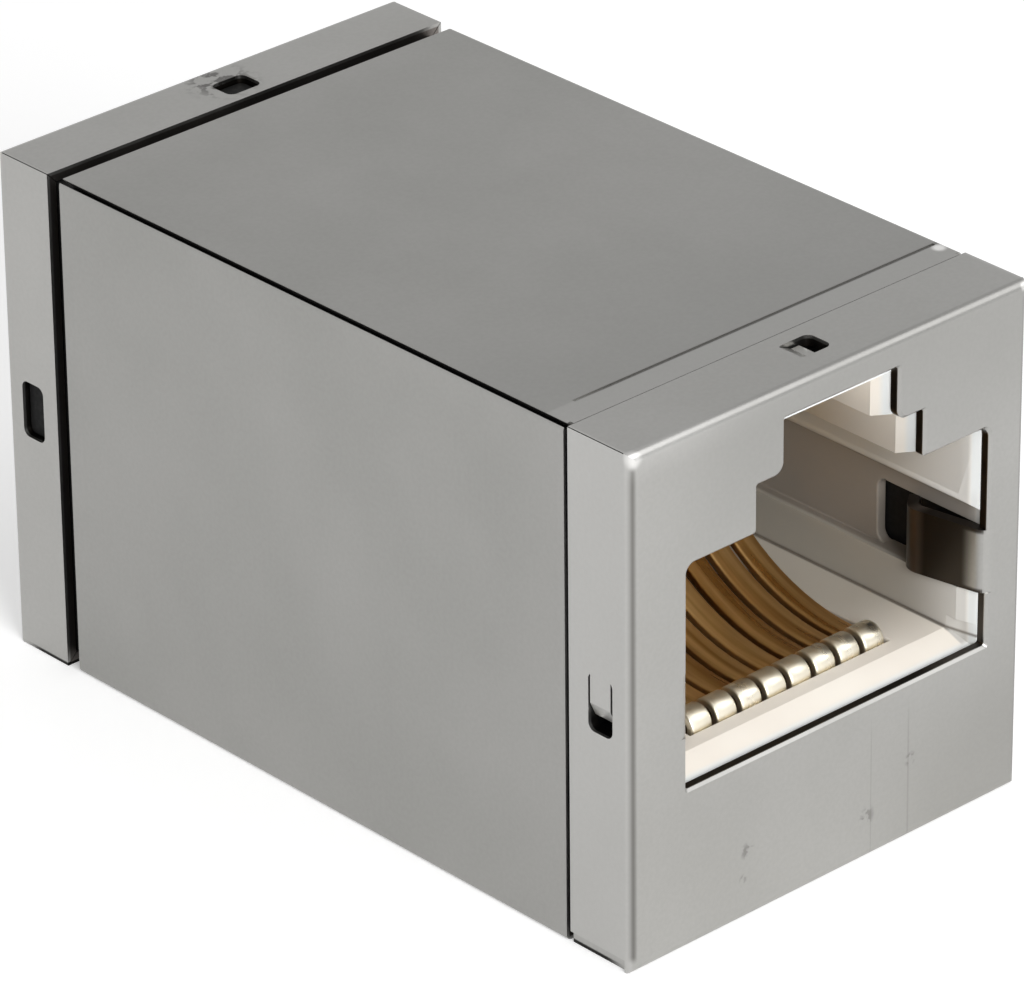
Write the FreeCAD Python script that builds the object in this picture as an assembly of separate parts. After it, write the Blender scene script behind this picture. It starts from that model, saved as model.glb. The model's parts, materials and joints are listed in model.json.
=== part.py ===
"""Shielded RJ45 inline coupler: two sockets back to back inside a folded metal can.

Millimetres. +X is the width, +Y runs from the front face to the rear face, +Z is up.
The origin is the middle of the underside. Each half is drawn by its depth behind its own
end face; the rear half is the front half turned half a turn about Z.
"""
import FreeCAD, Part
import math
import os

from FreeCAD import Vector

# Overall body
body_width = 16.0
body_height = 16.9
body_length = 27.75

# Sheet metal
sheet = 0.35                 # thickness of the nickel-plated sheet
bend_radius = 0.28           # outside radius of the end caps' folds
sleeve_bend = 0.2            # outside radius of the sleeve's tighter folds
front_skirt = 2.55           # how far the front cap's flaps reach along the body
rear_skirt = 2.4             # the same for the rear cap
front_gap = 0.16             # sleeve to front cap
rear_gap = 0.57              # sleeve to rear cap
seam_gap = 0.15              # open seam along the sleeve's upper left edge
corner_slit = 0.025          # seam between two flaps at a mitred corner
flap_gap = 0.06              # front cap's side flaps stand this far above its bottom flap
flap_inset = 0.12            # front cap's bottom flap is this much narrower on each side
lip_gap = 0.02               # front edge of the sleeve's top wall to the front cap's top flap
score_from_end = 3.57        # pressed line across the sleeve's top wall
score_width = 0.12
score_depth = 0.04
score_start = 1.2            # from the left side of the body
roll_over = 0.08             # rounded-over edge of the punched opening

# Snap windows in the flaps
side_window_width = 1.9
top_window_width = 1.3
window_length = 1.0          # along the body
side_window_from_end = 1.25  # end face to the middle of a window
top_window_from_end = 1.5
top_window_offset = 0.3      # from the middle of the body
window_radius = 0.25
tongue_thickness = 0.2       # lanced tongue left in a front window
tongue_slit = 0.08           # open slit on each side of a tongue
tongue_opening = 0.45        # open part of the window past a tongue's free end
tongue_dip = 0.2             # how far a tongue's free end lies inward
tongue_set = 0.45            # length of a tongue's slope
tongue_room = 0.4            # depth of the liner's openings behind the tongues
nub_rise = 0.1               # how far a nub of the liner stands above a flap's inner face

# Socket opening in the end plate, about its own centre line
port_offset = 0.38           # centre line of the socket from the middle of the body
port_bottom = 5.3
port_width = 12.3
port_height = 7.32
step_width = 6.76
step_height = 1.55
notch_width = 4.6
notch_height = 1.75
port_corner = 0.35
port_small_corner = 0.1

# Side earthing springs, folded in from the opening's edges
spring_fold = 0.45           # outside radius of the fold at the opening
spring_height = 2.1
spring_bottom = 1.55         # above the socket floor
spring_reach = 2.05
spring_lean = 0.42           # how far the crest leans into the socket
spring_crest = 0.45          # centre-line radius of the crest
spring_turn = 1.15           # turn at the crest, in radians
spring_tip = 0.45            # length of the turned-out tip

# Socket cavity in the plastic
floor_rise = 0.2             # socket floor above the edge of the metal opening
cavity_width = 11.8
cavity_height = 6.95
cavity_step_width = 6.4
cavity_step_height = 1.6
cavity_notch_width = 4.25
cavity_notch_height = 1.62
cavity_depth = 11.2
lead_in = 0.22               # how much wider the mouth is on each side
lead_in_depth = 0.65
ramp_end = 1.4               # depth where the floor's ramp at the mouth ends
ramp_drop = 0.4
groove_bottom = 1.5          # side groove, above the socket floor
groove_top = 4.65            # where the wall above the groove starts to round over
groove_depth = 0.4
groove_round = 0.45          # radius of that rounding
side_window_depth = 4.7
side_window_top = 3.65       # above the socket floor
side_window_radius = 0.35

# Contacts
contact_count = 8
contact_pitch = 1.016
contact_width = 0.82
contact_thickness = 0.28
contact_bend = 0.4           # centre-line radius of the turn over the front hump
contact_dip = 0.5            # centre-line radius of the turn behind the hump
contact_hump = 0.45          # height of the hump over the low point behind it
contact_low = -0.1           # centre line of the low point above the socket floor
contact_sweep = 7.24         # centre-line radius of the long rising stretch
contact_free_end = 9.3       # depth of the free end
tail_width = 0.42
tail_rows = (2.3, 3.5)       # heights of the two rows of soldered tails
comb_depth = 1.98            # depth of the front wall of the contact pocket
pocket_margin = 0.15         # pocket wall to the outermost contact

# Contact carrier
carrier_top = 0.6            # below the socket floor
carrier_bottom = 1.3         # above the underside of the body

# Liner and circuit board
fit = 0.05                   # clearance between parts that slide together
liner_wall = 0.5
liner_top_wall = 0.35
board_thickness = 1.2

half_width = body_width / 2
half_length = body_length / 2
socket_floor = port_bottom + floor_rise
inner_half_width = half_width - sheet
liner_half_width = inner_half_width - fit
bore_half_width = liner_half_width - liner_wall
housing_half_width = bore_half_width - fit
liner_bottom = sheet + fit
liner_top = body_height - sheet - fit
bore_bottom = liner_bottom + liner_wall
bore_top = liner_top - liner_top_wall
housing_bottom = bore_bottom + fit
housing_top = bore_top - fit
housing_back = half_length - board_thickness / 2
mouth_end = sheet + lead_in_depth
row_half_width = (contact_count - 1) * contact_pitch / 2 + contact_width / 2
pocket_half_width = row_half_width + pocket_margin
carrier_height_top = socket_floor - carrier_top
leg_depth = comb_depth + fit + contact_thickness / 2
carrier_front = leg_depth + contact_bend


def at_depth(depth):
    """Y of a point at this depth behind the front face."""
    return depth - half_length


def block(x_range, depth_range, z_range):
    """Box between two X values, two depths behind the front face and two heights."""
    size = [high - low for low, high in (x_range, depth_range, z_range)]
    return Part.makeBox(*size, Vector(x_range[0], at_depth(depth_range[0]), z_range[0]))


def turned(shape):
    """The same shape for the rear half."""
    return shape.rotated(Vector(0, 0, 0), Vector(0, 0, 1), 180)


def outline(corners, make_point):
    """Closed outline of straight runs, with a tangent arc at each corner that has a radius.

    corners holds (a, b, radius); make_point turns a and b into a point of the drawing plane.
    """
    points = [make_point(a, b) for a, b, radius in corners]
    edges = []
    arrivals = []
    departures = []
    for index, (a, b, radius) in enumerate(corners):
        corner = points[index]
        back = (points[index - 1] - corner).normalize()
        ahead = (points[(index + 1) % len(points)] - corner).normalize()
        half_angle = back.getAngle(ahead) / 2
        reach = radius / math.tan(half_angle)
        arrivals.append(corner + back * reach)
        departures.append(corner + ahead * reach)
        if radius > 0:
            inward = (back + ahead).normalize()
            middle = corner + inward * (radius / math.sin(half_angle) - radius)
            edges.append(Part.Arc(arrivals[-1], middle, departures[-1]).toShape())
    for index, start in enumerate(departures):
        edges.append(Part.makeLine(start, arrivals[(index + 1) % len(points)]))
    return Part.Wire(Part.__sortEdges__(edges))


def rounded_block(x_range, depth_range, z_range, radius):
    """Box with its four edges along Y rounded."""
    (left, right), (low, high) = x_range, z_range
    corners = [(left, low, radius), (right, low, radius), (right, high, radius), (left, high, radius)]
    start = at_depth(depth_range[0])
    wire = outline(corners, lambda x, z: Vector(x, start, z))
    return Part.Face(wire).extrude(Vector(0, depth_range[1] - depth_range[0], 0))


def stepped_wire(widths, bottom, heights, depth, radii=(0, 0)):
    """Socket outline at one depth: a wide main part, a step and a notch above it.

    widths and heights run from the main part up; radii are the main and the small corner radius.
    """
    half_main, half_step, half_notch = [width / 2 for width in widths]
    top_main = bottom + heights[0]
    top_step = top_main + heights[1]
    top_notch = top_step + heights[2]
    large, small = radii
    right_side = [
        (half_main, bottom, small),
        (half_main, top_main, large),
        (half_step, top_main, small),
        (half_step, top_step, small),
        (half_notch, top_step, large),
        (half_notch, top_notch, small),
    ]
    left_side = [(-x, z, radius) for x, z, radius in reversed(right_side)]
    return outline(right_side + left_side, lambda x, z: Vector(x + port_offset, at_depth(depth), z))


def strip(path, first_point, direction, across, width, thickness):
    """Flat strip of metal swept along a path of tangent lines and arcs."""
    normal = direction.cross(across)
    corners = []
    for side, face in ((-1, -1), (1, -1), (1, 1), (-1, 1)):
        corners.append(first_point + across * (side * width / 2) + normal * (face * thickness / 2))
    profile = Part.makePolygon(corners + corners[:1])
    return Part.Wire(path).makePipeShell([profile], True, True)


def window_places():
    """Middle of each snap window on the flaps' mid-plane, the way the flap faces and the window's width."""
    side = half_width - sheet / 2
    side_y = at_depth(side_window_from_end)
    top_y = at_depth(top_window_from_end)
    return [
        (Vector(-side, side_y, body_height / 2), Vector(-1, 0, 0), side_window_width),
        (Vector(side, side_y, body_height / 2), Vector(1, 0, 0), side_window_width),
        (Vector(top_window_offset, top_y, body_height - sheet / 2), Vector(0, 0, 1), top_window_width),
        (Vector(top_window_offset, top_y, sheet / 2), Vector(0, 0, -1), top_window_width),
    ]


def rear_window_places():
    """The same for the rear cap, before it is turned: its top window stays on the same side of the body."""
    return [(Vector(centre.x if facing.x else -centre.x, centre.y, centre.z), facing, width)
            for centre, facing, width in window_places()]


def across_direction(facing):
    """Direction of a window's width."""
    return Vector(0, 0, 1) if facing.x else Vector(-1, 0, 0)


def window_prism(place, shrink, low, high, square=False):
    """Prism in the shape of one snap window, between two levels about the flap's mid-plane."""
    centre, facing, width = place
    half_across = width / 2 - shrink
    half_along = window_length / 2 - shrink
    radius = 0 if square else window_radius - shrink
    across = across_direction(facing)
    corners = [(-half_across, -half_along, radius), (half_across, -half_along, radius),
               (half_across, half_along, radius), (-half_across, half_along, radius)]
    wire = outline(corners, lambda a, b: centre + facing * low + across * a + Vector(0, b, 0))
    return Part.Face(wire).extrude(facing * (high - low))


def lanced_tongue(place):
    """Tongue that stays in a front window, joined along one short side and set inward.

    In a side window the slope is at the free end; in a top or bottom window it is at the root.
    """
    centre, facing, width = place
    across = across_direction(facing)
    root = width / 2 + sheet
    free_end = tongue_opening - width / 2
    slope_start = free_end + tongue_set if facing.x else width / 2 - tongue_slit
    slope_end = slope_start - tongue_set
    outer = sheet / 2
    top_line = [(root, outer), (slope_start, outer), (slope_end, outer - tongue_dip)]
    if slope_end > free_end:
        top_line.append((free_end, outer - tongue_dip))
    profile = top_line + [(a, b - tongue_thickness) for a, b in reversed(top_line)]
    half_along = window_length / 2 - tongue_slit
    points = [centre + across * a + facing * b - Vector(0, half_along, 0) for a, b in profile]
    face = Part.Face(Part.makePolygon(points + points[:1]))
    return face.extrude(Vector(0, 2 * half_along, 0))


def earthing_spring(side):
    """Leaf folded inward from the opening's side edge; side is +1 or -1."""
    height = socket_floor + spring_bottom + spring_height / 2
    fold = spring_fold - sheet / 2
    edge = port_width / 2 + fold
    leaf_x = port_width / 2 - sheet / 2
    lean = math.atan2(spring_lean, spring_reach)

    def place(x, depth):
        return Vector(port_offset + side * x, at_depth(depth), height)

    start = place(edge, sheet / 2)
    # Quarter fold and a little more, so that the leaf leans into the socket.
    centre_x, centre_depth = edge, sheet / 2 + fold
    turn_end = math.pi + lean

    def on_fold(angle):
        return place(centre_x + fold * math.cos(angle), centre_depth + fold * math.sin(angle))

    def quarter(share):
        return on_fold(3 * math.pi / 2 - share * (3 * math.pi / 2 - turn_end))

    fold_end = quarter(1)
    end_x = centre_x + fold * math.cos(turn_end)
    end_depth = centre_depth + fold * math.sin(turn_end)
    crest_x = end_x - spring_reach * math.sin(lean)
    crest_depth = end_depth + spring_reach * math.cos(lean)
    # At its crest the leaf turns outward again, into a short straight tip.
    crest_centre_x = crest_x + spring_crest * math.cos(lean)
    crest_centre_depth = crest_depth + spring_crest * math.sin(lean)

    def on_crest(share):
        angle = math.pi + lean - share * spring_turn
        return place(crest_centre_x + spring_crest * math.cos(angle),
                     crest_centre_depth + spring_crest * math.sin(angle))

    away = spring_turn - lean
    tip_end = on_crest(1) + Vector(side * math.sin(away), math.cos(away), 0) * spring_tip
    path = [
        Part.Arc(start, quarter(0.5), fold_end).toShape(),
        Part.makeLine(fold_end, on_crest(0)),
        Part.Arc(on_crest(0), on_crest(0.5), on_crest(1)).toShape(),
        Part.makeLine(on_crest(1), tip_end),
    ]
    return strip(path, start, Vector(-side, 0, 0), Vector(0, 0, 1), spring_height, sheet)


def cap_pan(skirt):
    """End cap before its lower corners and windows: a plate with four flaps folded back."""
    pan = block((-half_width, half_width), (0, skirt), (0, body_height))
    front_edges = [edge for edge in pan.Edges if abs(edge.BoundBox.YMax - at_depth(0)) < 1e-6]
    pan = pan.makeFillet(bend_radius, front_edges)
    hollow = block((-inner_half_width, inner_half_width), (sheet, skirt + sheet),
                   (sheet, body_height - sheet))
    pan = pan.cut(hollow).cut(opening())
    for side in (-1, 1):
        pan = pan.cut(corner_mitre(side, 1, skirt))
        # Gap in the plate's rim where an earthing spring is folded in.
        pan = pan.cut(spring_relief(side))
    for side in (-1, 1):
        pan = pan.fuse(earthing_spring(side))
    return pan


def opening():
    """Punched opening of the plate, with its front edge rounded over."""
    widths = (port_width, step_width, notch_width)
    heights = (port_height, step_height, notch_height)
    radii = (port_corner, port_small_corner)
    hole = Part.Face(stepped_wire(widths, port_bottom, heights, 0, radii))
    hole = hole.extrude(Vector(0, 2 * sheet, 0))
    grown = [width + 4 * roll_over for width in widths]
    taller = (heights[0] + 4 * roll_over, heights[1], heights[2])
    outer = stepped_wire(grown, port_bottom - 2 * roll_over, taller, -roll_over, radii)
    inner = stepped_wire(widths, port_bottom, heights, roll_over, radii)
    return hole.fuse(Part.makeLoft([outer, inner], True, True))


def corner_mitre(side, level, skirt):
    """Fine slit between two flaps at an upper (level 1) or a lower (level -1) corner."""
    reach = 2 * bend_radius
    slit = Part.makeBox(corner_slit, skirt, 2 * reach,
                        Vector(-corner_slit / 2, at_depth(bend_radius), -reach))
    slit.rotate(Vector(0, 0, 0), Vector(0, 1, 0), side * level * 45)
    height = body_height - sheet if level > 0 else sheet
    slit.translate(Vector(side * inner_half_width, 0, height))
    return slit


def spring_relief(side):
    """Strip of the plate that is taken up by the fold of an earthing spring."""
    inner = port_width / 2 - sheet
    outer = port_width / 2 + spring_fold - sheet / 2
    x_range = sorted((port_offset + side * inner, port_offset + side * outer))
    bottom = socket_floor + spring_bottom
    return block(x_range, (-sheet, 2 * sheet), (bottom, bottom + spring_height))


def cap_windows(cap, places):
    """Cut the snap window in each flap."""
    for place in places:
        cap = cap.cut(window_prism(place, 0, -sheet, sheet))
    return cap


def front_cap():
    """Front cap: its bottom flap lies below the side flaps, and a lanced tongue stays in each window."""
    cap = cap_windows(cap_pan(front_skirt), window_places())
    for side in (-1, 1):
        outside = sorted((side * half_width, side * inner_half_width))
        edge = sorted((side * half_width, side * (half_width - flap_inset)))
        depths = (bend_radius, front_skirt)
        cap = cap.cut(block(outside, depths, (sheet, sheet + flap_gap)))
        cap = cap.cut(block(edge, depths, (0, sheet)))
    for place in window_places():
        cap = cap.fuse(lanced_tongue(place))
    return cap.removeSplitter()


def rear_cap():
    """Rear cap: four mitred corners, and plain windows over the liner's nubs."""
    cap = cap_windows(cap_pan(rear_skirt), rear_window_places())
    for side in (-1, 1):
        cap = cap.cut(corner_mitre(side, -1, rear_skirt))
    return turned(cap.removeSplitter())


def sleeve():
    """Sleeve folded from one sheet, with its open seam along the upper left edge."""
    start = front_skirt + front_gap
    end = body_length - rear_skirt - rear_gap
    tube = rounded_block((-half_width, half_width), (start, end), (0, body_height), sleeve_bend)
    tube = tube.cut(rounded_block((-inner_half_width, inner_half_width), (start - sheet, end + sheet),
                                  (sheet, body_height - sheet), fit))
    # The top wall reaches forward to the cap's top flap.
    lip_half_width = half_width - bend_radius
    lip = block((-lip_half_width, lip_half_width), (front_skirt + lip_gap, start + sheet),
                (body_height - sheet, body_height))
    tube = tube.fuse(lip)
    score = block((score_start - half_width, half_width - bend_radius),
                  (score_from_end - score_width / 2, score_from_end + score_width / 2),
                  (body_height - score_depth, body_height + sheet))
    tube = tube.cut(score)
    reach = 2 * bend_radius
    seam = Part.makeBox(seam_gap, end - start + 2 * sheet, 2 * reach,
                        Vector(-seam_gap / 2, at_depth(start - sheet), -reach))
    seam.rotate(Vector(0, 0, 0), Vector(0, 1, 0), -45)
    seam.translate(Vector(-half_width + sleeve_bend / 2, 0, body_height - sleeve_bend / 3))
    return tube.cut(seam).removeSplitter()


def liner():
    """Insulating liner tube: it centres the sockets and closes the gaps between the metal parts."""
    depths = (sheet, body_length - sheet)
    outside = block((-liner_half_width, liner_half_width), depths, (liner_bottom, liner_top))
    bore = block((-bore_half_width, bore_half_width), (0, body_length), (bore_bottom, bore_top))
    tube = outside.cut(bore)
    for place in window_places():
        tube = tube.cut(window_prism(place, -tongue_slit, -sheet / 2 - tongue_room, 0, True))
    for place in rear_window_places():
        nub = window_prism(place, fit, -sheet / 2 - fit, nub_rise - sheet / 2)
        tube = tube.fuse(turned(nub))
    return tube.removeSplitter()


def cavity():
    """Space for the plug: a flared mouth, then the stepped socket."""
    widths = (cavity_width, cavity_step_width, cavity_notch_width)
    heights = (cavity_height, cavity_step_height, cavity_notch_height)
    socket = Part.Face(stepped_wire(widths, socket_floor, heights, sheet))
    socket = socket.extrude(Vector(0, cavity_depth - sheet, 0))
    wide = [width + 2 * lead_in for width in widths]
    mouth_heights = (heights[0] + floor_rise + lead_in, heights[1], heights[2] - lead_in)
    mouth = stepped_wire(wide, port_bottom, mouth_heights, sheet)
    throat = stepped_wire(widths, socket_floor, heights, mouth_end)
    socket = socket.fuse(Part.makeLoft([mouth, throat], True, True))
    return socket.fuse(floor_ramp())


def floor_ramp():
    """Ramp that leads the plug up to the floor, from just behind the plate."""
    top = socket_floor + ramp_drop

    def rectangle(half, low, depth):
        corners = [(-half, low, 0), (half, low, 0), (half, top, 0), (-half, top, 0)]
        return outline(corners, lambda x, z: Vector(x + port_offset, at_depth(depth), z))

    half = cavity_width / 2
    mouth = rectangle(half + lead_in, socket_floor - ramp_drop, sheet)
    return Part.makeLoft([mouth, rectangle(half, socket_floor, ramp_end)], True, True)


def side_groove(side):
    """Groove along a side wall of the socket, under a rounded-over wall, and the window at its front."""
    bottom = socket_floor + groove_bottom
    top = socket_floor + groove_top
    wall = cavity_width / 2
    turn = math.acos(1 - groove_depth / groove_round)
    start = at_depth(sheet)

    def place(x, z):
        return Vector(port_offset + side * x, start, z)

    def on_round(share):
        angle = share * turn
        return place(wall + groove_round * (1 - math.cos(angle)), top - groove_round * math.sin(angle))

    inner = wall - groove_depth
    edges = [Part.Arc(on_round(0), on_round(0.5), on_round(1)).toShape(),
             Part.makePolygon([on_round(1), place(wall + groove_depth, bottom), place(inner, bottom),
                               place(inner, top), on_round(0)])]
    groove = Part.Face(Part.Wire(edges)).extrude(Vector(0, cavity_depth - sheet, 0))
    x_range = sorted((port_offset + side * wall, side * half_width))
    window = block(x_range, (0, side_window_depth), (bottom, socket_floor + side_window_top))
    far_edges = [edge for edge in window.Edges
                 if abs(edge.BoundBox.YMin - at_depth(side_window_depth)) < 1e-6
                 and edge.BoundBox.XLength > 1e-3]
    return groove.fuse(window.makeFillet(side_window_radius, far_edges))


def housing():
    """Moulded socket body."""
    body = block((-housing_half_width, housing_half_width), (sheet, housing_back),
                 (housing_bottom, housing_top))
    body = body.cut(cavity())
    for side in (-1, 1):
        body = body.cut(side_groove(side))
    pocket = block((port_offset - pocket_half_width, port_offset + pocket_half_width),
                   (comb_depth, housing_back), (carrier_bottom, socket_floor))
    return body.cut(pocket)


def contact_x(index):
    """Centre of one contact, counted from 0 at the left."""
    return port_offset + (index - (contact_count - 1) / 2) * contact_pitch


def carrier():
    """Moulded bar under the contacts; their tails pass through it to the circuit board."""
    half = pocket_half_width - fit
    bar = block((port_offset - half, port_offset + half), (carrier_front, housing_back),
                (carrier_bottom + fit, carrier_height_top))
    for index in range(contact_count):
        for height in tail_rows:
            bar = bar.cut(tail_slot(contact_x(index), height, (carrier_front, housing_back), 0))
    return bar


def tail_slot(x, height, depths, clearance):
    """Passage for one tail."""
    half_x = tail_width / 2 + clearance
    half_z = contact_thickness / 2 + clearance
    return block((x - half_x, x + half_x), depths, (height - half_z, height + half_z))


def contact(index, row_height):
    """One contact: soldered tail, upright leg, a hump over the comb and the long sprung stretch."""
    x = contact_x(index)
    low_point = socket_floor + contact_low
    crest = low_point + contact_hump

    def place(depth, height):
        return Vector(x, at_depth(depth), height)

    def arc(centre, radius, first, last):
        """Arc in the upright plane of the contact, between two angles from the way to the rear."""
        depth, height = centre
        stops = [(depth + radius * math.cos(angle), height + radius * math.sin(angle))
                 for angle in (first, (first + last) / 2, last)]
        return Part.Arc(*[place(*stop) for stop in stops]).toShape()

    tail_end = half_length + board_thickness / 2 - fit
    elbow = leg_depth + contact_bend
    fall = math.acos(1 - contact_hump / (contact_bend + contact_dip))
    low_depth = elbow + (contact_bend + contact_dip) * math.sin(fall)
    reach = math.asin((contact_free_end - low_depth) / contact_sweep)
    up = math.pi / 2
    path = [
        arc((elbow, row_height + contact_bend), contact_bend, 3 * up, 2 * up),
        Part.makeLine(place(leg_depth, row_height + contact_bend), place(leg_depth, crest - contact_bend)),
        arc((elbow, crest - contact_bend), contact_bend, 2 * up, up - fall),
        arc((low_depth, low_point + contact_dip), contact_dip, 3 * up - fall, 3 * up),
        arc((low_depth, low_point + contact_sweep), contact_sweep, 3 * up, 3 * up + reach),
    ]
    spring = strip(path, place(elbow, row_height), Vector(0, -1, 0), Vector(1, 0, 0),
                   contact_width, contact_thickness)
    half_x = tail_width / 2
    half_z = contact_thickness / 2
    tail = block((x - half_x, x + half_x), (elbow, tail_end), (row_height - half_z, row_height + half_z))
    return spring.fuse(tail).removeSplitter()


def circuit_board():
    """Board between the two sockets, with a hole for every tail."""
    board = block((-housing_half_width, housing_half_width), (housing_back, housing_back + board_thickness),
                  (housing_bottom, housing_top))
    depths = (housing_back - sheet, housing_back + board_thickness + sheet)
    for index in range(contact_count):
        front_row, rear_row = rows(index)
        hole = tail_slot(contact_x(index), front_row, depths, fit)
        board = board.cut(hole)
        board = board.cut(turned(tail_slot(contact_x(index), rear_row, depths, fit)))
    return board


def rows(index):
    """Tail heights of a contact on the front and on the rear socket, staggered so that they miss each other."""
    return tail_rows[index % 2], tail_rows[(index + 1) % 2]


def build():
    """Every node of the coupler by name."""
    nodes = {
        "sleeve": sleeve(),
        "front_cap": front_cap(),
        "rear_cap": rear_cap(),
        "insulating_liner": liner(),
        "front_jack_housing": housing(),
        "rear_jack_housing": turned(housing()),
        "front_contact_carrier": carrier(),
        "rear_contact_carrier": turned(carrier()),
        "circuit_board": circuit_board(),
    }
    for index in range(contact_count):
        front_row, rear_row = rows(index)
        nodes[f"front_contact_{index + 1}"] = contact(index, front_row)
        nodes[f"rear_contact_{index + 1}"] = turned(contact(index, rear_row))
    return nodes


os.makedirs("parts", exist_ok=True)
for name, shape in build().items():
    shape.exportStep(f"parts/{name}.step")
    print(name, "solids", len(shape.Solids), "valid", shape.isValid(), "volume", round(shape.Volume, 3))
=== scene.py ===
# %% [markdown]
# # Inline coupler with two modular sockets
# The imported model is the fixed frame: it gives every piece its place in metres, +Z up, with the
# origin in the middle of the underside. Drawing the body again here would also work, but the two
# would drift apart, so the pieces and the sizes of the body are read from that frame.

# %% Load the frame
import json
import math

import bmesh
import bpy
from mathutils import Matrix, Vector


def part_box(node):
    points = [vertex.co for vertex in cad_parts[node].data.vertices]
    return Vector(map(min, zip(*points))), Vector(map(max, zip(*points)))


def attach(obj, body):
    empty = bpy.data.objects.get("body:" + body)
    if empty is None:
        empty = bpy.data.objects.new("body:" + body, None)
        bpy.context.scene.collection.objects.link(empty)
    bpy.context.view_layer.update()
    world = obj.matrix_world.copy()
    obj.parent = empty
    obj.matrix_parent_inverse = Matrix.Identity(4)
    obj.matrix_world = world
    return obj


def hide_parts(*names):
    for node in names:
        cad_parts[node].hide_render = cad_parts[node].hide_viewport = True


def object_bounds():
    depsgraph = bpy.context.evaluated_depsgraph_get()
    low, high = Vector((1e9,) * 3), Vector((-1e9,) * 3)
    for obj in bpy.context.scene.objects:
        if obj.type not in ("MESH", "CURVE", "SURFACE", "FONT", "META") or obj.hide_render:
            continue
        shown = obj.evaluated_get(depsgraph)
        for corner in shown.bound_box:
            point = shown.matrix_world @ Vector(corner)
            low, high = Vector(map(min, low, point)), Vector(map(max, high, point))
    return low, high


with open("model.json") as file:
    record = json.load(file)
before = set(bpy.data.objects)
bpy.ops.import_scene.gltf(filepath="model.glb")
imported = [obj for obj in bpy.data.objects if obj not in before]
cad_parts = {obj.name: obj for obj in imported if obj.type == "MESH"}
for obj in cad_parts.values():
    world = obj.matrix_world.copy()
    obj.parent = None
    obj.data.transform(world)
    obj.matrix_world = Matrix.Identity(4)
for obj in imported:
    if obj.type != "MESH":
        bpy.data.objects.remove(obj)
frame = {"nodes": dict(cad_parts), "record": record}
cad_low, cad_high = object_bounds()
nodes = frame["nodes"]
MM = 0.001
half_width, half_length = cad_high[0], cad_high[1]
height = cad_high[2]
print("body", [round((high - low) / MM, 2) for low, high in zip(cad_low, cad_high)], "mm")

# %% [markdown]
# ## Node helpers
# A finish is a small graph of shader nodes. Wiring it by hand in the editor works too, but a graph
# that is written down can be read and repeated. These helpers keep each graph short: one adds a
# node with its settings, and the others do one step of arithmetic or one blend of two colours.

# %% Material and node
def new_material(name):
    """A material with one Principled surface; returns the material, its tree and the surface node."""
    material = bpy.data.materials.new(name)
    material.use_nodes = True
    tree = material.node_tree
    return material, tree, tree.nodes["Principled BSDF"]


def add(tree, kind, inputs=None, **settings):
    """A node of one kind, with its settings and the values of its inputs."""
    node = tree.nodes.new(kind)
    for key, value in settings.items():
        setattr(node, key, value)
    for key, value in (inputs or {}).items():
        if isinstance(value, bpy.types.NodeSocket):
            tree.links.new(value, node.inputs[key])
        else:
            node.inputs[key].default_value = value
    return node


# %% Arithmetic on sockets
def math_step(tree, operation, *values):
    """The result of one arithmetic step on numbers or sockets."""
    return add(tree, "ShaderNodeMath", dict(enumerate(values)), operation=operation).outputs[0]


def product(tree, first, *others):
    """All the values multiplied together."""
    for value in others:
        first = math_step(tree, "MULTIPLY", first, value)
    return first


def rest_of(tree, value):
    """What is left of one."""
    return math_step(tree, "SUBTRACT", 1.0, value)


def without_sign(tree, value):
    """The size of a value, whether it is above or below zero."""
    return math_step(tree, "ABSOLUTE", value)


def ramp(tree, value, low, high, first=0.0, last=1.0):
    """A smooth step: first below low, last above high."""
    values = {"Value": value, "From Min": low, "From Max": high, "To Min": first, "To Max": last}
    node = add(tree, "ShaderNodeMapRange", values, interpolation_type="SMOOTHSTEP")
    return node.outputs["Result"]


def band(tree, value, middle, half):
    """One at the middle of a line and nothing beyond half its width."""
    off_middle = without_sign(tree, math_step(tree, "SUBTRACT", value, middle))
    return ramp(tree, off_middle, 0.0, half, 1.0, 0.0)


# %% Places, colours and noise
def object_place(tree):
    """The point on the object."""
    return add(tree, "ShaderNodeTexCoord").outputs["Object"]


def axes_of(tree, vector):
    """The X, Y and Z of a vector one by one."""
    return add(tree, "ShaderNodeSeparateXYZ", {0: vector}).outputs


def spot(tree, place, middle, reach):
    """One at a point and nothing beyond its reach."""
    apart = add(tree, "ShaderNodeVectorMath", {0: place, 1: middle}, operation="DISTANCE").outputs["Value"]
    return ramp(tree, apart, 0.3 * reach, reach, 1.0, 0.0)


def blend(tree, factor, first, second):
    """Two colours blended by a factor."""
    return add(tree, "ShaderNodeMix", {"Factor": factor, 6: first, 7: second}, data_type="RGBA").outputs[2]


def noise(tree, place, scale, detail=2.0, stretch=(1, 1, 1)):
    """Cloudy noise between 0 and 1; a stretch above one squeezes it along that axis."""
    squeezed = add(tree, "ShaderNodeMapping", {"Vector": place, "Scale": stretch}).outputs[0]
    clouds = add(tree, "ShaderNodeTexNoise", {"Vector": squeezed, "Scale": scale, "Detail": detail})
    return clouds.outputs["Fac"]


def dimple(tree, surface, heights, strength, depth):
    """Fine relief on a surface."""
    bump = add(tree, "ShaderNodeBump", {"Height": heights, "Strength": strength, "Distance": depth})
    tree.links.new(bump.outputs["Normal"], surface.inputs["Normal"])
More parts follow.
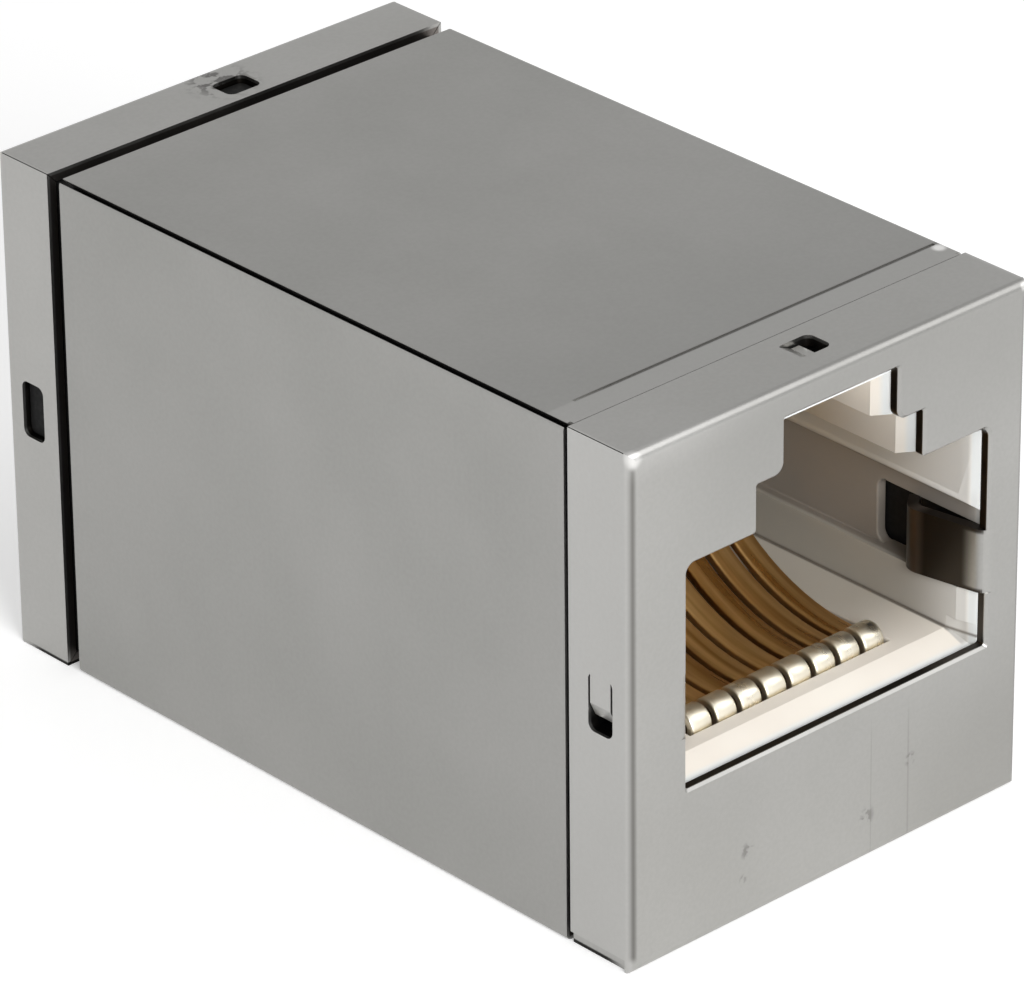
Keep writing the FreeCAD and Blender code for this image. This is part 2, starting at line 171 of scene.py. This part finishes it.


# %% [markdown]
# ## Skin and cut edge
# The can is thin steel sheet with a satin nickel plate. The rolled skin is pale. The cut edges, where
# the plate is thin, and the folded springs behind the opening get a painted shade, nearly black,
# because little light reaches them. The faces could be picked one by one, but they would have to be
# picked again after each change. How far a point lies inside the outer box tells skin from cut edge
# instead. A tongue that is pressed in still faces outwards, so the way a face looks keeps it pale.

# %% How deep a point lies under the skin
def depths_under_skin(tree, axes):
    """Distances from a point to the nearest side, end and upper or lower face of the body."""
    sides = math_step(tree, "SUBTRACT", half_width, without_sign(tree, axes["X"]))
    ends = math_step(tree, "SUBTRACT", half_length, without_sign(tree, axes["Y"]))
    levels = math_step(tree, "MINIMUM", math_step(tree, "SUBTRACT", height, axes["Z"]), axes["Z"])
    return sides, ends, levels


sheet = 0.35 * MM    # thickness of the sheet


def facing_out(tree, under):
    """One on faces that look outwards and lie no deeper than the sheet is thick."""
    geometry = add(tree, "ShaderNodeNewGeometry").outputs["True Normal"]
    normal = axes_of(tree, geometry)
    result = 0.0
    for axis, depth in zip("XYZ", under):
        looks = ramp(tree, without_sign(tree, normal[axis]), 0.6, 0.8)
        near = ramp(tree, depth, sheet - 0.05 * MM, sheet + 0.05 * MM, 1.0, 0.0)
        result = math_step(tree, "MAXIMUM", result, product(tree, looks, near))
    return result


# %% Tones of the plate, with painted highlights and shade among them
bright_plate = (0.72, 0.715, 0.70, 1)
painted_glint_tone = (0.95, 0.94, 0.92, 1)
painted_corner_glint_tone = (0.8, 0.79, 0.77, 1)
upper_right_tone = (0.30, 0.297, 0.285, 1)
lower_right_tone = (0.30, 0.292, 0.272, 1)
line_tone = (0.13, 0.125, 0.115, 1)
print("plate tones from", line_tone[0], "to", painted_glint_tone[0])

# %% [markdown]
# ## Marks on the top
# The sleeve's top wall ends in a lip at the front, with a pressed line behind it, and the strip in
# front of the line is a little brighter. A painted highlight brightens a spot beside the line's end,
# and the plate round the rear window is scuffed. Behind the line a painted shade darkens the top,
# fading towards the rear. The line is a real groove in the solid, but it is only 0.04 mm deep, so a
# painted shade along it stands for its shadow. Scuffs are flatter still; they and the highlight are
# a change of tone alone.

# %% Marks on the top
cap_edge = 2.55 * MM         # how far the front cap's flaps reach along the body
pressed_line = 3.57 * MM     # from the front face
painted_glint_place = (half_width - 0.35 * MM, 3.3 * MM - half_length, height)
scuffed_place = (0.1 * MM, half_length - 1.0 * MM, height)
print("pressed line", round(pressed_line / MM, 2), "mm from the front face")


def top_marks(tree, place, axes, tone):
    """Pressed line and lighter strip at the front of the top, with painted shade in and behind the line
    and a painted highlight by its end, and scuffs round the rear window.
    """
    on_top = ramp(tree, axes["Z"], height - 0.1 * MM, height - 0.06 * MM)
    depth = math_step(tree, "ADD", axes["Y"], half_length)
    strip = product(tree, ramp(tree, depth, cap_edge - 0.05 * MM, cap_edge + 0.05 * MM),
                    ramp(tree, depth, pressed_line - 0.12 * MM, pressed_line + 0.05 * MM, 0.3, 0.0))
    tone = blend(tree, product(tree, strip, on_top), tone, (0.52, 0.515, 0.50, 1))
    # Painted shade: the top is darker just behind the pressed line, fading towards the rear.
    shade = product(tree, ramp(tree, depth, 3.6 * MM, 11.0 * MM, 0.2, 0.0),
                    ramp(tree, depth, 3.55 * MM, 3.6 * MM))
    tone = blend(tree, product(tree, shade, on_top), tone, (0.28, 0.278, 0.27, 1))
    # Painted shade: a dark band along the right part of the pressed groove.
    line = product(tree, band(tree, depth, pressed_line, 0.13 * MM),
                   ramp(tree, axes["X"], -6.9 * MM, -5.2 * MM, 0.0, 0.75))
    tone = blend(tree, product(tree, line, on_top), tone, (0.16, 0.155, 0.15, 1))
    # Painted highlight: a bright spot beside the right end of the pressed line.
    tone = blend(tree, spot(tree, place, painted_glint_place, 0.3 * MM), tone, painted_glint_tone)
    ragged = ramp(tree, noise(tree, place, 2400.0, 3.0), 0.48, 0.56, 0.0, 0.85)
    scuffs = product(tree, ragged, spot(tree, place, scuffed_place, 1.5 * MM))
    return blend(tree, scuffs, tone, (0.1, 0.095, 0.09, 1))


# %% [markdown]
# ## Marks on the end caps
# A painted shade lays a dull line along each upright fold, and painted highlights brighten the upper
# corners. A painted highlight lightens the face at its upper left; the face is darker to the right of
# that and at its lower right, and the side flaps are brighter again. Each mark is a soft region found
# from the point's place, blended into the tone in turn. An image could carry them too, but it would
# blur close up.

# %% Tones of the end face
def face_tones(tree, axes, under, tone):
    """Painted shade on the upright folds, a painted highlight at the upper left, and a darker lower right
    and upper right.
    """
    sides, ends, levels = under
    off_fold = math_step(tree, "SUBTRACT", sides, ends)
    farther = math_step(tree, "MAXIMUM", sides, ends)
    # Painted shade: a dark line along each upright fold.
    fold = product(tree, band(tree, off_fold, 0.05 * MM, 0.26 * MM),
                   ramp(tree, farther, 0.2 * MM, 0.28 * MM, 0.85, 0.0),
                   ramp(tree, levels, 0.3 * MM, 0.6 * MM))
    tone = blend(tree, fold, tone, line_tone)
    on_face = ramp(tree, ends, 0.2 * MM, 0.3 * MM, 1.0, 0.0)
    # Painted highlight: the upper left of the end face is lighter.
    painted_upper_left_highlight = product(tree, ramp(tree, axes["Z"], height - 1.1 * MM, height, 0.0, 0.25),
                     ramp(tree, axes["X"], -half_width, 0.3 * half_width, 1.0, 0.0))
    darker_lower_right = product(tree, ramp(tree, axes["Z"], 7.0 * MM, 2.0 * MM, 0.0, 0.45),
                      ramp(tree, axes["X"], -2.0 * MM, half_width))
    darker_upper_right = product(tree, ramp(tree, axes["Z"], 10.0 * MM, height, 0.0, 0.4),
                     ramp(tree, axes["X"], -half_width, -2.0 * MM))
    for region, colour in ((painted_upper_left_highlight, bright_plate), (darker_lower_right, lower_right_tone), (darker_upper_right, upper_right_tone)):
        tone = blend(tree, product(tree, region, on_face), tone, colour)
    return tone


# %% Tones of the flaps
def flap_tones(tree, axes, under, tone):
    """Bright side flaps, with a painted shadow along the bottom edge of each, where it stops just short of
    the bottom flap.
    """
    flap = product(tree, ramp(tree, under[0], 0.05 * MM, 0.15 * MM, 1.0, 0.0),
                   ramp(tree, axes["Y"], -0.5 * MM, 0.5 * MM, 0.25, 0.1))
    tone = blend(tree, flap, tone, bright_plate)
    # Painted shadow: a dark band along the bottom edge of each side flap, fading out towards the end face.
    seam = product(tree, ramp(tree, axes["Z"], 0.09 * MM, 0.15 * MM, 1.0, 0.0),
                   ramp(tree, under[1], 0.3 * MM, 1.2 * MM))
    return blend(tree, seam, tone, (0.02, 0.019, 0.017, 1))


# %% Corners, dents and hairlines
# Side of each corner, and reach in mm. Then X, Z and reach of each dent in mm.
painted_corner_glints = ((-1, 0.4), (1, 0.2))
dents = ((-3.5, 1.4, 0.2), (-3.35, 2.3, 0.35), (1.6, 1.45, 0.4), (3.4, 2.7, 0.3))
print(len(painted_corner_glints), "polished corners and", len(dents), "dents")


def small_marks(tree, place, axes, tone):
    """Painted highlights on the upper corners, and small dents and upright hairlines low on an end face.
    """
    # Painted highlights: bright spots at the upper corners of the front end face.
    for side, reach in painted_corner_glints:
        corner = (side * (half_width - 0.15 * MM), -half_length, height - 0.15 * MM)
        tone = blend(tree, spot(tree, place, corner, reach * MM), tone, painted_corner_glint_tone)
    ragged = ramp(tree, noise(tree, place, 3600.0, 3.0), 0.46, 0.56, 0.0, 0.5)
    for across, level, reach in dents:
        dent = spot(tree, place, (across * MM, -half_length, level * MM), reach * MM)
        tone = blend(tree, product(tree, dent, ragged), tone, line_tone)
    upright = noise(tree, place, 330.0, 1.0, (1.0, 1.0, 0.02))
    hairline = product(tree, band(tree, upright, 0.54, 0.007),
                       ramp(tree, axes["Z"], 3.5 * MM, 5.0 * MM, 0.3, 0.0),
                       ramp(tree, axes["X"], -5.2 * MM, -4.2 * MM))
    return blend(tree, hairline, tone, (0.2, 0.19, 0.17, 1))


# %% [markdown]
# ## Below the skin
# A painted shade makes the cut edges and the inside of the sheet nearly black. Three places are not:
# the lanced tongues lie just under the skin and keep their plate, a painted highlight lightens the
# crest of each earthing spring, and the spring's root is bright where the sheet turns in from the face.

# %% Cut edges and springs
top_tongue = (0.1 * MM, 1.5 * MM - half_length, height)
side_tongue = (-half_width, 1.25 * MM - half_length, height / 2 + 0.2 * MM)
spring_crest = 2.45 * MM     # depth of the crest
spring_middle = 8.1 * MM     # level of the middle of a spring
spring_half = 1.04 * MM      # from the middle nearly to its upper and lower edge
print("spring crest", round(spring_crest / MM, 2), "mm from the end face")


def below_skin(tree, place, axes, under, tone):
    """Painted shade on the cut edges, with bright tongues, a painted highlight on each spring's crest and
    bright spring roots.
    """
    inside = math_step(tree, "MINIMUM", math_step(tree, "MINIMUM", under[0], under[1]), under[2])
    tongues = math_step(tree, "MAXIMUM", spot(tree, place, top_tongue, 1.0 * MM),
                        spot(tree, place, side_tongue, 1.3 * MM))
    on_spring = ramp(tree, band(tree, axes["Z"], spring_middle, spring_half), 0.0, 0.06)
    root = product(tree, on_spring, ramp(tree, under[1], 0.3 * MM, 0.85 * MM, 0.9, 0.0))
    # Painted shade: points more than about 0.1 mm under the skin turn dark, except where they face out.
    cut = product(tree, ramp(tree, inside, 0.088 * MM, 0.13 * MM), rest_of(tree, facing_out(tree, under)),
                  rest_of(tree, tongues), rest_of(tree, root))
    # Painted highlight: a lighter band along each spring's crest; the rest of the hidden sheet is nearly
    # black.
    crest = band(tree, under[1], spring_crest, 0.4 * MM)
    hidden = blend(tree, crest, (0.05, 0.043, 0.037, 1), (0.21, 0.19, 0.175, 1))
    return blend(tree, cut, tone, hidden)


# %% [markdown]
# ## Plated sheet
# Sleeve and caps are stamped from the same kind of sheet, but the caps are a little brighter and
# smoother, so one function makes both finishes. Slow clouds change the tone, a fine speckle breaks
# it up, and a stretched noise changes the gloss the way wiping does.

# %% One finish for each kind of sheet
def plated_sheet(name, pale, dull, roughness, grain, is_cap):
    """Satin plate: clouded tone, smudges, fine grain, marks with painted highlights and shade, and painted
    shade on the cut edges.
    """
    material, tree, surface = new_material(name)
    place = object_place(tree)
    axes = axes_of(tree, place)
    under = depths_under_skin(tree, axes)
    tone = blend(tree, ramp(tree, noise(tree, place, 150.0, 4.0), 0.3, 0.7), dull, pale)
    speckle = ramp(tree, noise(tree, place, 7000.0, 1.0), 0.25, 0.75, 0.05, 0.0)
    tone = blend(tree, speckle, tone, (0.1, 0.09, 0.08, 1))
    tone = top_marks(tree, place, axes, tone)
    if is_cap:
        tone = face_tones(tree, axes, under, tone)
        tone = flap_tones(tree, axes, under, tone)
        tone = small_marks(tree, place, axes, tone)
    tone = below_skin(tree, place, axes, under, tone)
    tree.links.new(tone, surface.inputs["Base Color"])
    smear = noise(tree, place, 420.0, 5.0, (1, 0.6, 0.35))
    gloss = ramp(tree, smear, 0.3, 0.75, roughness - 0.04, roughness + 0.05)
    tree.links.new(gloss, surface.inputs["Roughness"])
    dimple(tree, surface, noise(tree, place, grain, 3.0), 0.08, 0.006 * MM)
    surface.inputs["Metallic"].default_value = 1.0
    print("made", name, "with", len(tree.nodes), "nodes")
    return material


sleeve_plate = plated_sheet("sleeve_satin_nickel", (0.412, 0.407, 0.392, 1), (0.385, 0.382, 0.366, 1),
                            roughness=0.42, grain=8200.0, is_cap=False)
cap_plate = plated_sheet("cap_satin_nickel", (0.462, 0.457, 0.44, 1), (0.43, 0.425, 0.407, 1),
                         roughness=0.32, grain=7400.0, is_cap=True)

# %% [markdown]
# ## Ivory moulding
# The socket bodies are moulded in an off-white engineering plastic, a little glossy where the
# steel tool was polished. The lip round the mouth is a cooler white. Further in, a painted shade
# makes the walls greyer and everything darker with depth, and darker still in the side grooves, low
# on the walls and in the crease between floor and wall. Depth from the end face, height and distance
# from the socket's middle say where a point lies, so the same graph serves both sockets, although
# the rear one is turned round.

# %% Where the socket lies
comb_low, comb_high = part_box("front_contact_carrier")
socket_offset = (comb_low[0] + comb_high[0]) / 2
socket_floor = comb_high[2] + 0.6 * MM
wall_face = 5.9 * MM                     # socket wall, from the socket's middle
mouth_depth = 0.65 * MM                  # the mouth narrows as far as here
groove_low = socket_floor + 1.5 * MM     # side groove for the earthing spring
groove_high = socket_floor + 4.65 * MM   # here the wall above the groove starts to round over
print("socket", round(socket_offset / MM, 2), "mm off centre, floor at", round(socket_floor / MM, 2), "mm")


def depth_from_end(tree, axes):
    """How deep a point lies behind the nearer end face."""
    return math_step(tree, "SUBTRACT", half_length, without_sign(tree, axes["Y"]))


def across_socket(tree, axes):
    """How far to either side a point lies from the middle of its end's socket."""
    turned = product(tree, axes["X"], math_step(tree, "SIGN", axes["Y"]))
    return without_sign(tree, math_step(tree, "ADD", turned, socket_offset))


# %% Painted shade in the socket
def socket_painted_shade(tree, axes, tone):
    """Cooler lip, and painted shade on the walls, the lower walls, with depth, in the side grooves and in
    the crease.
    """
    depth = depth_from_end(tree, axes)
    across = across_socket(tree, axes)
    lip = ramp(tree, depth, mouth_depth - 0.1 * MM, mouth_depth + 0.15 * MM, 1.0, 0.0)
    tone = blend(tree, lip, tone, (0.80, 0.825, 0.825, 1))
    # Painted shade: walls deeper than the mouth are greyer.
    wall = product(tree, ramp(tree, across, wall_face - 0.12 * MM, wall_face - 0.04 * MM, 0.0, 0.95),
                   ramp(tree, depth, mouth_depth - 0.05 * MM, mouth_depth + 0.1 * MM))
    tone = blend(tree, wall, tone, (0.59, 0.58, 0.555, 1))
    # Painted shade: the lower wall darkens with depth.
    low_wall = product(tree, wall, ramp(tree, axes["Z"], groove_low + 0.4 * MM, groove_low - 0.2 * MM),
                       ramp(tree, depth, 0.9 * MM, 3.4 * MM, 0.0, 0.75))
    tone = blend(tree, low_wall, tone, (0.28, 0.262, 0.235, 1))
    # Painted shade: everything darkens with depth from the end face.
    painted_depth_shade = ramp(tree, depth, 0.9 * MM, 4.8 * MM, 0.0, 0.75)
    tone = blend(tree, painted_depth_shade, tone, (0.34, 0.315, 0.268, 1))
    # Painted shade: the side grooves are darker.
    groove = product(tree, ramp(tree, across, wall_face + 0.08 * MM, wall_face + 0.22 * MM, 0.0, 0.8),
                     ramp(tree, depth, 0.25 * MM, 1.1 * MM),
                     ramp(tree, axes["Z"], groove_high + 0.35 * MM, groove_high - 0.2 * MM))
    tone = blend(tree, groove, tone, (0.2, 0.172, 0.145, 1))
    # Painted shade: a dark line in the crease between floor and wall.
    crease = product(tree, band(tree, axes["Z"], socket_floor, 0.09 * MM),
                     ramp(tree, across, wall_face - 0.15 * MM, wall_face - 0.05 * MM, 0.0, 0.8))
    return blend(tree, crease, tone, (0.12, 0.1, 0.08, 1))


# %% Ivory plastic
ivory, tree, surface = new_material("ivory_moulding")
place = object_place(tree)
axes = axes_of(tree, place)
flow = noise(tree, place, 240.0, 3.0, (1, 0.4, 1))
tone = blend(tree, ramp(tree, flow, 0.3, 0.7), (0.88, 0.82, 0.74, 1), (0.93, 0.88, 0.80, 1))
tree.links.new(socket_painted_shade(tree, axes, tone), surface.inputs["Base Color"])
polish = noise(tree, place, 900.0, 3.0)
tree.links.new(ramp(tree, polish, 0.3, 0.7, 0.34, 0.46), surface.inputs["Roughness"])
dimple(tree, surface, noise(tree, place, 3800.0, 3.0), 0.2, 0.008 * MM)
print("made", ivory.name, "with", len(tree.nodes), "nodes")

# %% [markdown]
# ## Black mouldings
# The liner behind the sheet is soft black plastic and only shows through the gaps. The comb that
# carries the contacts is a harder, brownish black one. A plain black would look like a hole, so
# both get a slow change of tone and a fine grain from the mould.

# %% Black plastics
def dark_moulding(name, first, second, roughness):
    """Matt moulding with a slow change of tone and a fine tool grain."""
    material, tree, surface = new_material(name)
    place = object_place(tree)
    tone = blend(tree, ramp(tree, noise(tree, place, 500.0, 3.0), 0.3, 0.7), first, second)
    tree.links.new(tone, surface.inputs["Base Color"])
    grain = noise(tree, place, 5000.0, 2.0)
    gloss = ramp(tree, grain, 0.3, 0.7, roughness - 0.08, roughness + 0.08)
    tree.links.new(gloss, surface.inputs["Roughness"])
    dimple(tree, surface, grain, 0.3, 0.01 * MM)
    surface.inputs["Specular IOR Level"].default_value = 0.2
    print("made", name)
    return material


liner_black = dark_moulding("liner_black", (0.005, 0.005, 0.005, 1), (0.009, 0.009, 0.009, 1), 0.6)
comb_brown = dark_moulding("comb_brown_black", (0.10, 0.06, 0.028, 1), (0.14, 0.085, 0.04, 1), 0.5)

# %% [markdown]
# ## Gold contacts
# Each contact is a strip of spring bronze with a thin gold plate. The strip was rolled before it
# was cut, so fine lines run along it: a noise that is squeezed across and stretched along gives
# them. A painted reflection of the white studio makes the turned front ends pale.

# %% Gold plate
# The painted reflection on the turned front ends fades between these depths.
sheen_from, sheen_to = 2.75 * MM, 3.15 * MM    # the burnish fades between these depths
gold, tree, surface = new_material("gold_plate")
place = object_place(tree)
axes = axes_of(tree, place)
rolled = noise(tree, place, 900.0, 2.0, (3.0, 0.12, 0.12))
tone = blend(tree, ramp(tree, rolled, 0.3, 0.7), (0.56, 0.285, 0.08, 1), (0.96, 0.66, 0.30, 1))
# Painted reflection: a pale tone on the turned front ends.
painted_sheen = ramp(tree, depth_from_end(tree, axes), sheen_from, sheen_to, 1.0, 0.0)
tree.links.new(blend(tree, painted_sheen, tone, (0.97, 0.91, 0.76, 1)), surface.inputs["Base Color"])
tree.links.new(ramp(tree, rolled, 0.3, 0.7, 0.26, 0.38), surface.inputs["Roughness"])
dimple(tree, surface, rolled, 0.15, 0.01 * MM)
surface.inputs["Metallic"].default_value = 1.0
print("made", gold.name, "worn down to", round(sheen_to / MM, 2), "mm from the end face")

# %% [markdown]
# ## Circuit board
# The board between the two sockets is glass laminate under a green mask, with the weave just
# showing as a slight change of tone. A checker at the pitch of the weave is enough for that.

# %% Board
board, tree, surface = new_material("board_laminate")
place = object_place(tree)
greens = {"Color1": (0.035, 0.17, 0.08, 1), "Color2": (0.045, 0.21, 0.10, 1)}
weave = add(tree, "ShaderNodeTexChecker", {"Vector": place, "Scale": 2500.0, **greens})
tree.links.new(weave.outputs["Color"], surface.inputs["Base Color"])
tree.links.new(ramp(tree, noise(tree, place, 900.0), 0.3, 0.7, 0.24, 0.34), surface.inputs["Roughness"])
print("made", board.name)

# %% [markdown]
# ## Finishes on the frame
# The record gives each node a material slot. Most nodes take the finish of their slot. The sleeve
# and the two combs have a finish of their own, because they come from another sheet or plastic.

# %% Give every node its finish
finish_of_slot = {
    "plated_sheet": cap_plate,
    "ivory_plastic": ivory,
    "black_plastic": liner_black,
    "gold_contact": gold,
    "board_laminate": board,
}
finish_of_node = {
    "sleeve": sleeve_plate,
    "front_contact_carrier": comb_brown,
    "rear_contact_carrier": comb_brown,
}
slot_of_node = {entry["node"]: entry["material_slot"] for entry in frame["record"]["subparts"]}
for name, slot_name in slot_of_node.items():
    finish = finish_of_node.get(name, finish_of_slot[slot_name])
    for slot in nodes[name].material_slots:
        slot.material = finish
print("finished", len(nodes), "nodes")

# %% [markdown]
# ## Softened edges
# No real edge is a perfect corner: the stamped strips are tumbled and a mould leaves a small
# radius, and a thin line of light along each edge shows it. The folds of the sheet are round in
# the solids already, so the sheet keeps them. The two socket housings and the contacts show in
# the openings with sharp edges, so each of them gets a bevelled copy that stands for the solid. A
# Bevel modifier is the usual way. Bevelling here lets the flat triangles join into whole faces
# first, and leaves the edges at the mouth of a housing as they are, because the lead-in of the
# solid slopes there already. Weighted normals keep the broad faces flat beside a bevel.

# %% Bevel the sharp edges
weld = 0.0005 * MM               # corners closer than this are one corner
flat_angle = math.radians(0.5)   # triangles closer to flat than this are one face
sharp_angle = math.radians(40)


def bevelled_mesh(name, radius, clear_of_mouth):
    """One solid's mesh with a small round on each sharp edge that lies deeper than the mouth."""
    shape = bmesh.new()
    shape.from_mesh(nodes[name].data)
    bmesh.ops.remove_doubles(shape, verts=shape.verts, dist=weld)
    bmesh.ops.dissolve_limit(shape, angle_limit=flat_angle, verts=shape.verts, edges=shape.edges,
                             delimit={"NORMAL"})
    sharp = [edge for edge in shape.edges if edge.calc_face_angle(0) > sharp_angle
             and all(half_length - abs(vertex.co.y) > clear_of_mouth for vertex in edge.verts)]
    bmesh.ops.bevel(shape, geom=sharp, offset=radius, offset_type="OFFSET", affect="EDGES", segments=2,
                    profile=0.5, clamp_overlap=False, material=-1)
    mesh = bpy.data.meshes.new(name + "_soft")
    shape.to_mesh(mesh)
    shape.free()
    print("softened", name, len(sharp), "edges,", len(mesh.polygons), "faces")
    return mesh


# %% Rounded copies
def soften(name, radius, crease_angle, clear_of_mouth=0.0):
    """A softened copy of one solid, which replaces the solid."""
    mesh = bevelled_mesh(name, radius, clear_of_mouth)
    mesh.shade_smooth()
    mesh.set_sharp_from_angle(angle=math.radians(crease_angle))
    mesh.materials.append(nodes[name].material_slots[0].material)
    piece = bpy.data.objects.new(name + "_soft", mesh)
    bpy.context.scene.collection.objects.link(piece)
    flat_faces = piece.modifiers.new("flat_faces", "WEIGHTED_NORMAL")
    flat_faces.keep_sharp = True
    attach(piece, "root")
    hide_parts(name)


for end in ("front", "rear"):
    soften(end + "_jack_housing", 0.05 * MM, 12, 1.6 * MM)
for name, slot_name in slot_of_node.items():
    if slot_name == "gold_contact":
        soften(name, 0.07 * MM, 50)

# %% [markdown]
# ## Floor
# The coupler stands on white paper. A white surface alone still looks grey where little light
# falls on it. So the paper glows a little for the rays that see it, straight or in the metal, and
# it reads as white while it keeps the shadow.

# %% Floor
floor_size = 1.2
camera_glow = 0.3
mirror_glow = 0.12
bpy.ops.mesh.primitive_plane_add(size=floor_size, location=(0, 0, cad_low[2]))
floor = bpy.context.object
floor.name = "floor"
paper, tree, surface = new_material("white_paper")
surface.inputs["Base Color"].default_value = (0.9, 0.9, 0.9, 1)
surface.inputs["Roughness"].default_value = 0.9
surface.inputs["Specular IOR Level"].default_value = 0.1
path = add(tree, "ShaderNodeLightPath").outputs
mirrored = math_step(tree, "MAXIMUM", path["Is Glossy Ray"], path["Is Transmission Ray"])
glow = math_step(tree, "ADD", product(tree, path["Is Camera Ray"], camera_glow),
                 product(tree, mirrored, mirror_glow))
surface.inputs["Emission Color"].default_value = (1, 1, 1, 1)
tree.links.new(glow, surface.inputs["Emission Strength"])
floor.data.materials.append(paper)
print("floor", floor_size, "m wide at", cad_low[2], "m")

# %% [markdown]
# ## Studio
# Bare metal shows what stands round it, so the studio matters as much as the finish. It is white
# at the horizon and a softer grey overhead, and that grey is what the top of the can reflects. For
# everything else the studio is an even, dim light that fills the shadows.

# %% World
ambient = 0.55
horizon_level, overhead_level = 1.0, 0.66
world = bpy.data.worlds.new("studio")
bpy.context.scene.world = world
world.use_nodes = True
tree = world.node_tree
sky = tree.nodes["Background"]
path = add(tree, "ShaderNodeLightPath").outputs
mirrored = math_step(tree, "MAXIMUM", path["Is Glossy Ray"], path["Is Transmission Ray"])
seen = math_step(tree, "MAXIMUM", path["Is Camera Ray"], mirrored)
direction = add(tree, "ShaderNodeTexCoord").outputs["Generated"]
toward = axes_of(tree, direction)
backdrop = ramp(tree, toward["Z"], 0.05, 0.36, horizon_level, overhead_level)
above_ambient = product(tree, seen, math_step(tree, "SUBTRACT", backdrop, ambient))
sky.inputs["Color"].default_value = (1, 1, 1, 1)
tree.links.new(math_step(tree, "ADD", above_ambient, ambient), sky.inputs["Strength"])
print("studio from", overhead_level, "overhead to", horizon_level, "at the horizon")

# %% [markdown]
# ## Lamps
# Two square area lamps give soft shadows. The key stands high at the front right and models the
# top and the end face, and the fill shines straight into the socket, so the contacts show.

# %% Lamps
centre = Vector([(low + high) / 2 for low, high in zip(cad_low, cad_high)])
lamp_distance = 0.30


def lamp(name, direction, size, power):
    """Square area lamp that faces the middle of the body from one direction."""
    light = bpy.data.lights.new(name, "AREA")
    light.size = size
    light.energy = power
    holder = bpy.data.objects.new(name, light)
    bpy.context.scene.collection.objects.link(holder)
    away = Vector(direction).normalized()
    holder.location = centre + away * lamp_distance
    holder.rotation_euler = away.to_track_quat("Z", "Y").to_euler()
    print(name, "radiance", round(power / (math.pi * size * size), 2))


lamp("key_front_right", (0.60, -0.47, 0.65), size=0.20, power=0.15)
lamp("fill_front", (-0.30, -0.85, 0.42), size=0.14, power=0.70)

# %% [markdown]
# ## Camera
# A long lens looks down on the coupler from its front left, so that the end face, the left side
# and the top all show. Its place is worked out from two angles and a distance, which are easier
# to tune than three coordinates.

# %% Camera
azimuth = math.radians(-42.535)
elevation = math.radians(27.955)
roll = math.radians(-0.62)
distance = 0.220
offset_right = 0.208 * MM
offset_up = -0.948 * MM
back = Vector((math.sin(azimuth) * math.cos(elevation), -math.cos(azimuth) * math.cos(elevation),
               math.sin(elevation)))
right = Vector((math.cos(azimuth), math.sin(azimuth), 0))
up = back.cross(right)
right_rolled = math.cos(roll) * right + math.sin(roll) * up
up_rolled = math.cos(roll) * up - math.sin(roll) * right
camera_data = bpy.data.cameras.new("camera")
camera_data.sensor_width = 36
camera_data.lens = 256.4
camera_data.clip_start = 0.01
camera = bpy.data.objects.new("camera", camera_data)
bpy.context.scene.collection.objects.link(camera)
camera_place = centre + back * distance + right_rolled * offset_right + up_rolled * offset_up
camera_turn = Matrix((right_rolled, up_rolled, back)).transposed().to_4x4()
camera.matrix_world = Matrix.Translation(camera_place) @ camera_turn
bpy.context.scene.camera = camera
bpy.context.scene.view_settings.view_transform = "Standard"
print("camera at", [round(value, 3) for value in camera_place], "m")
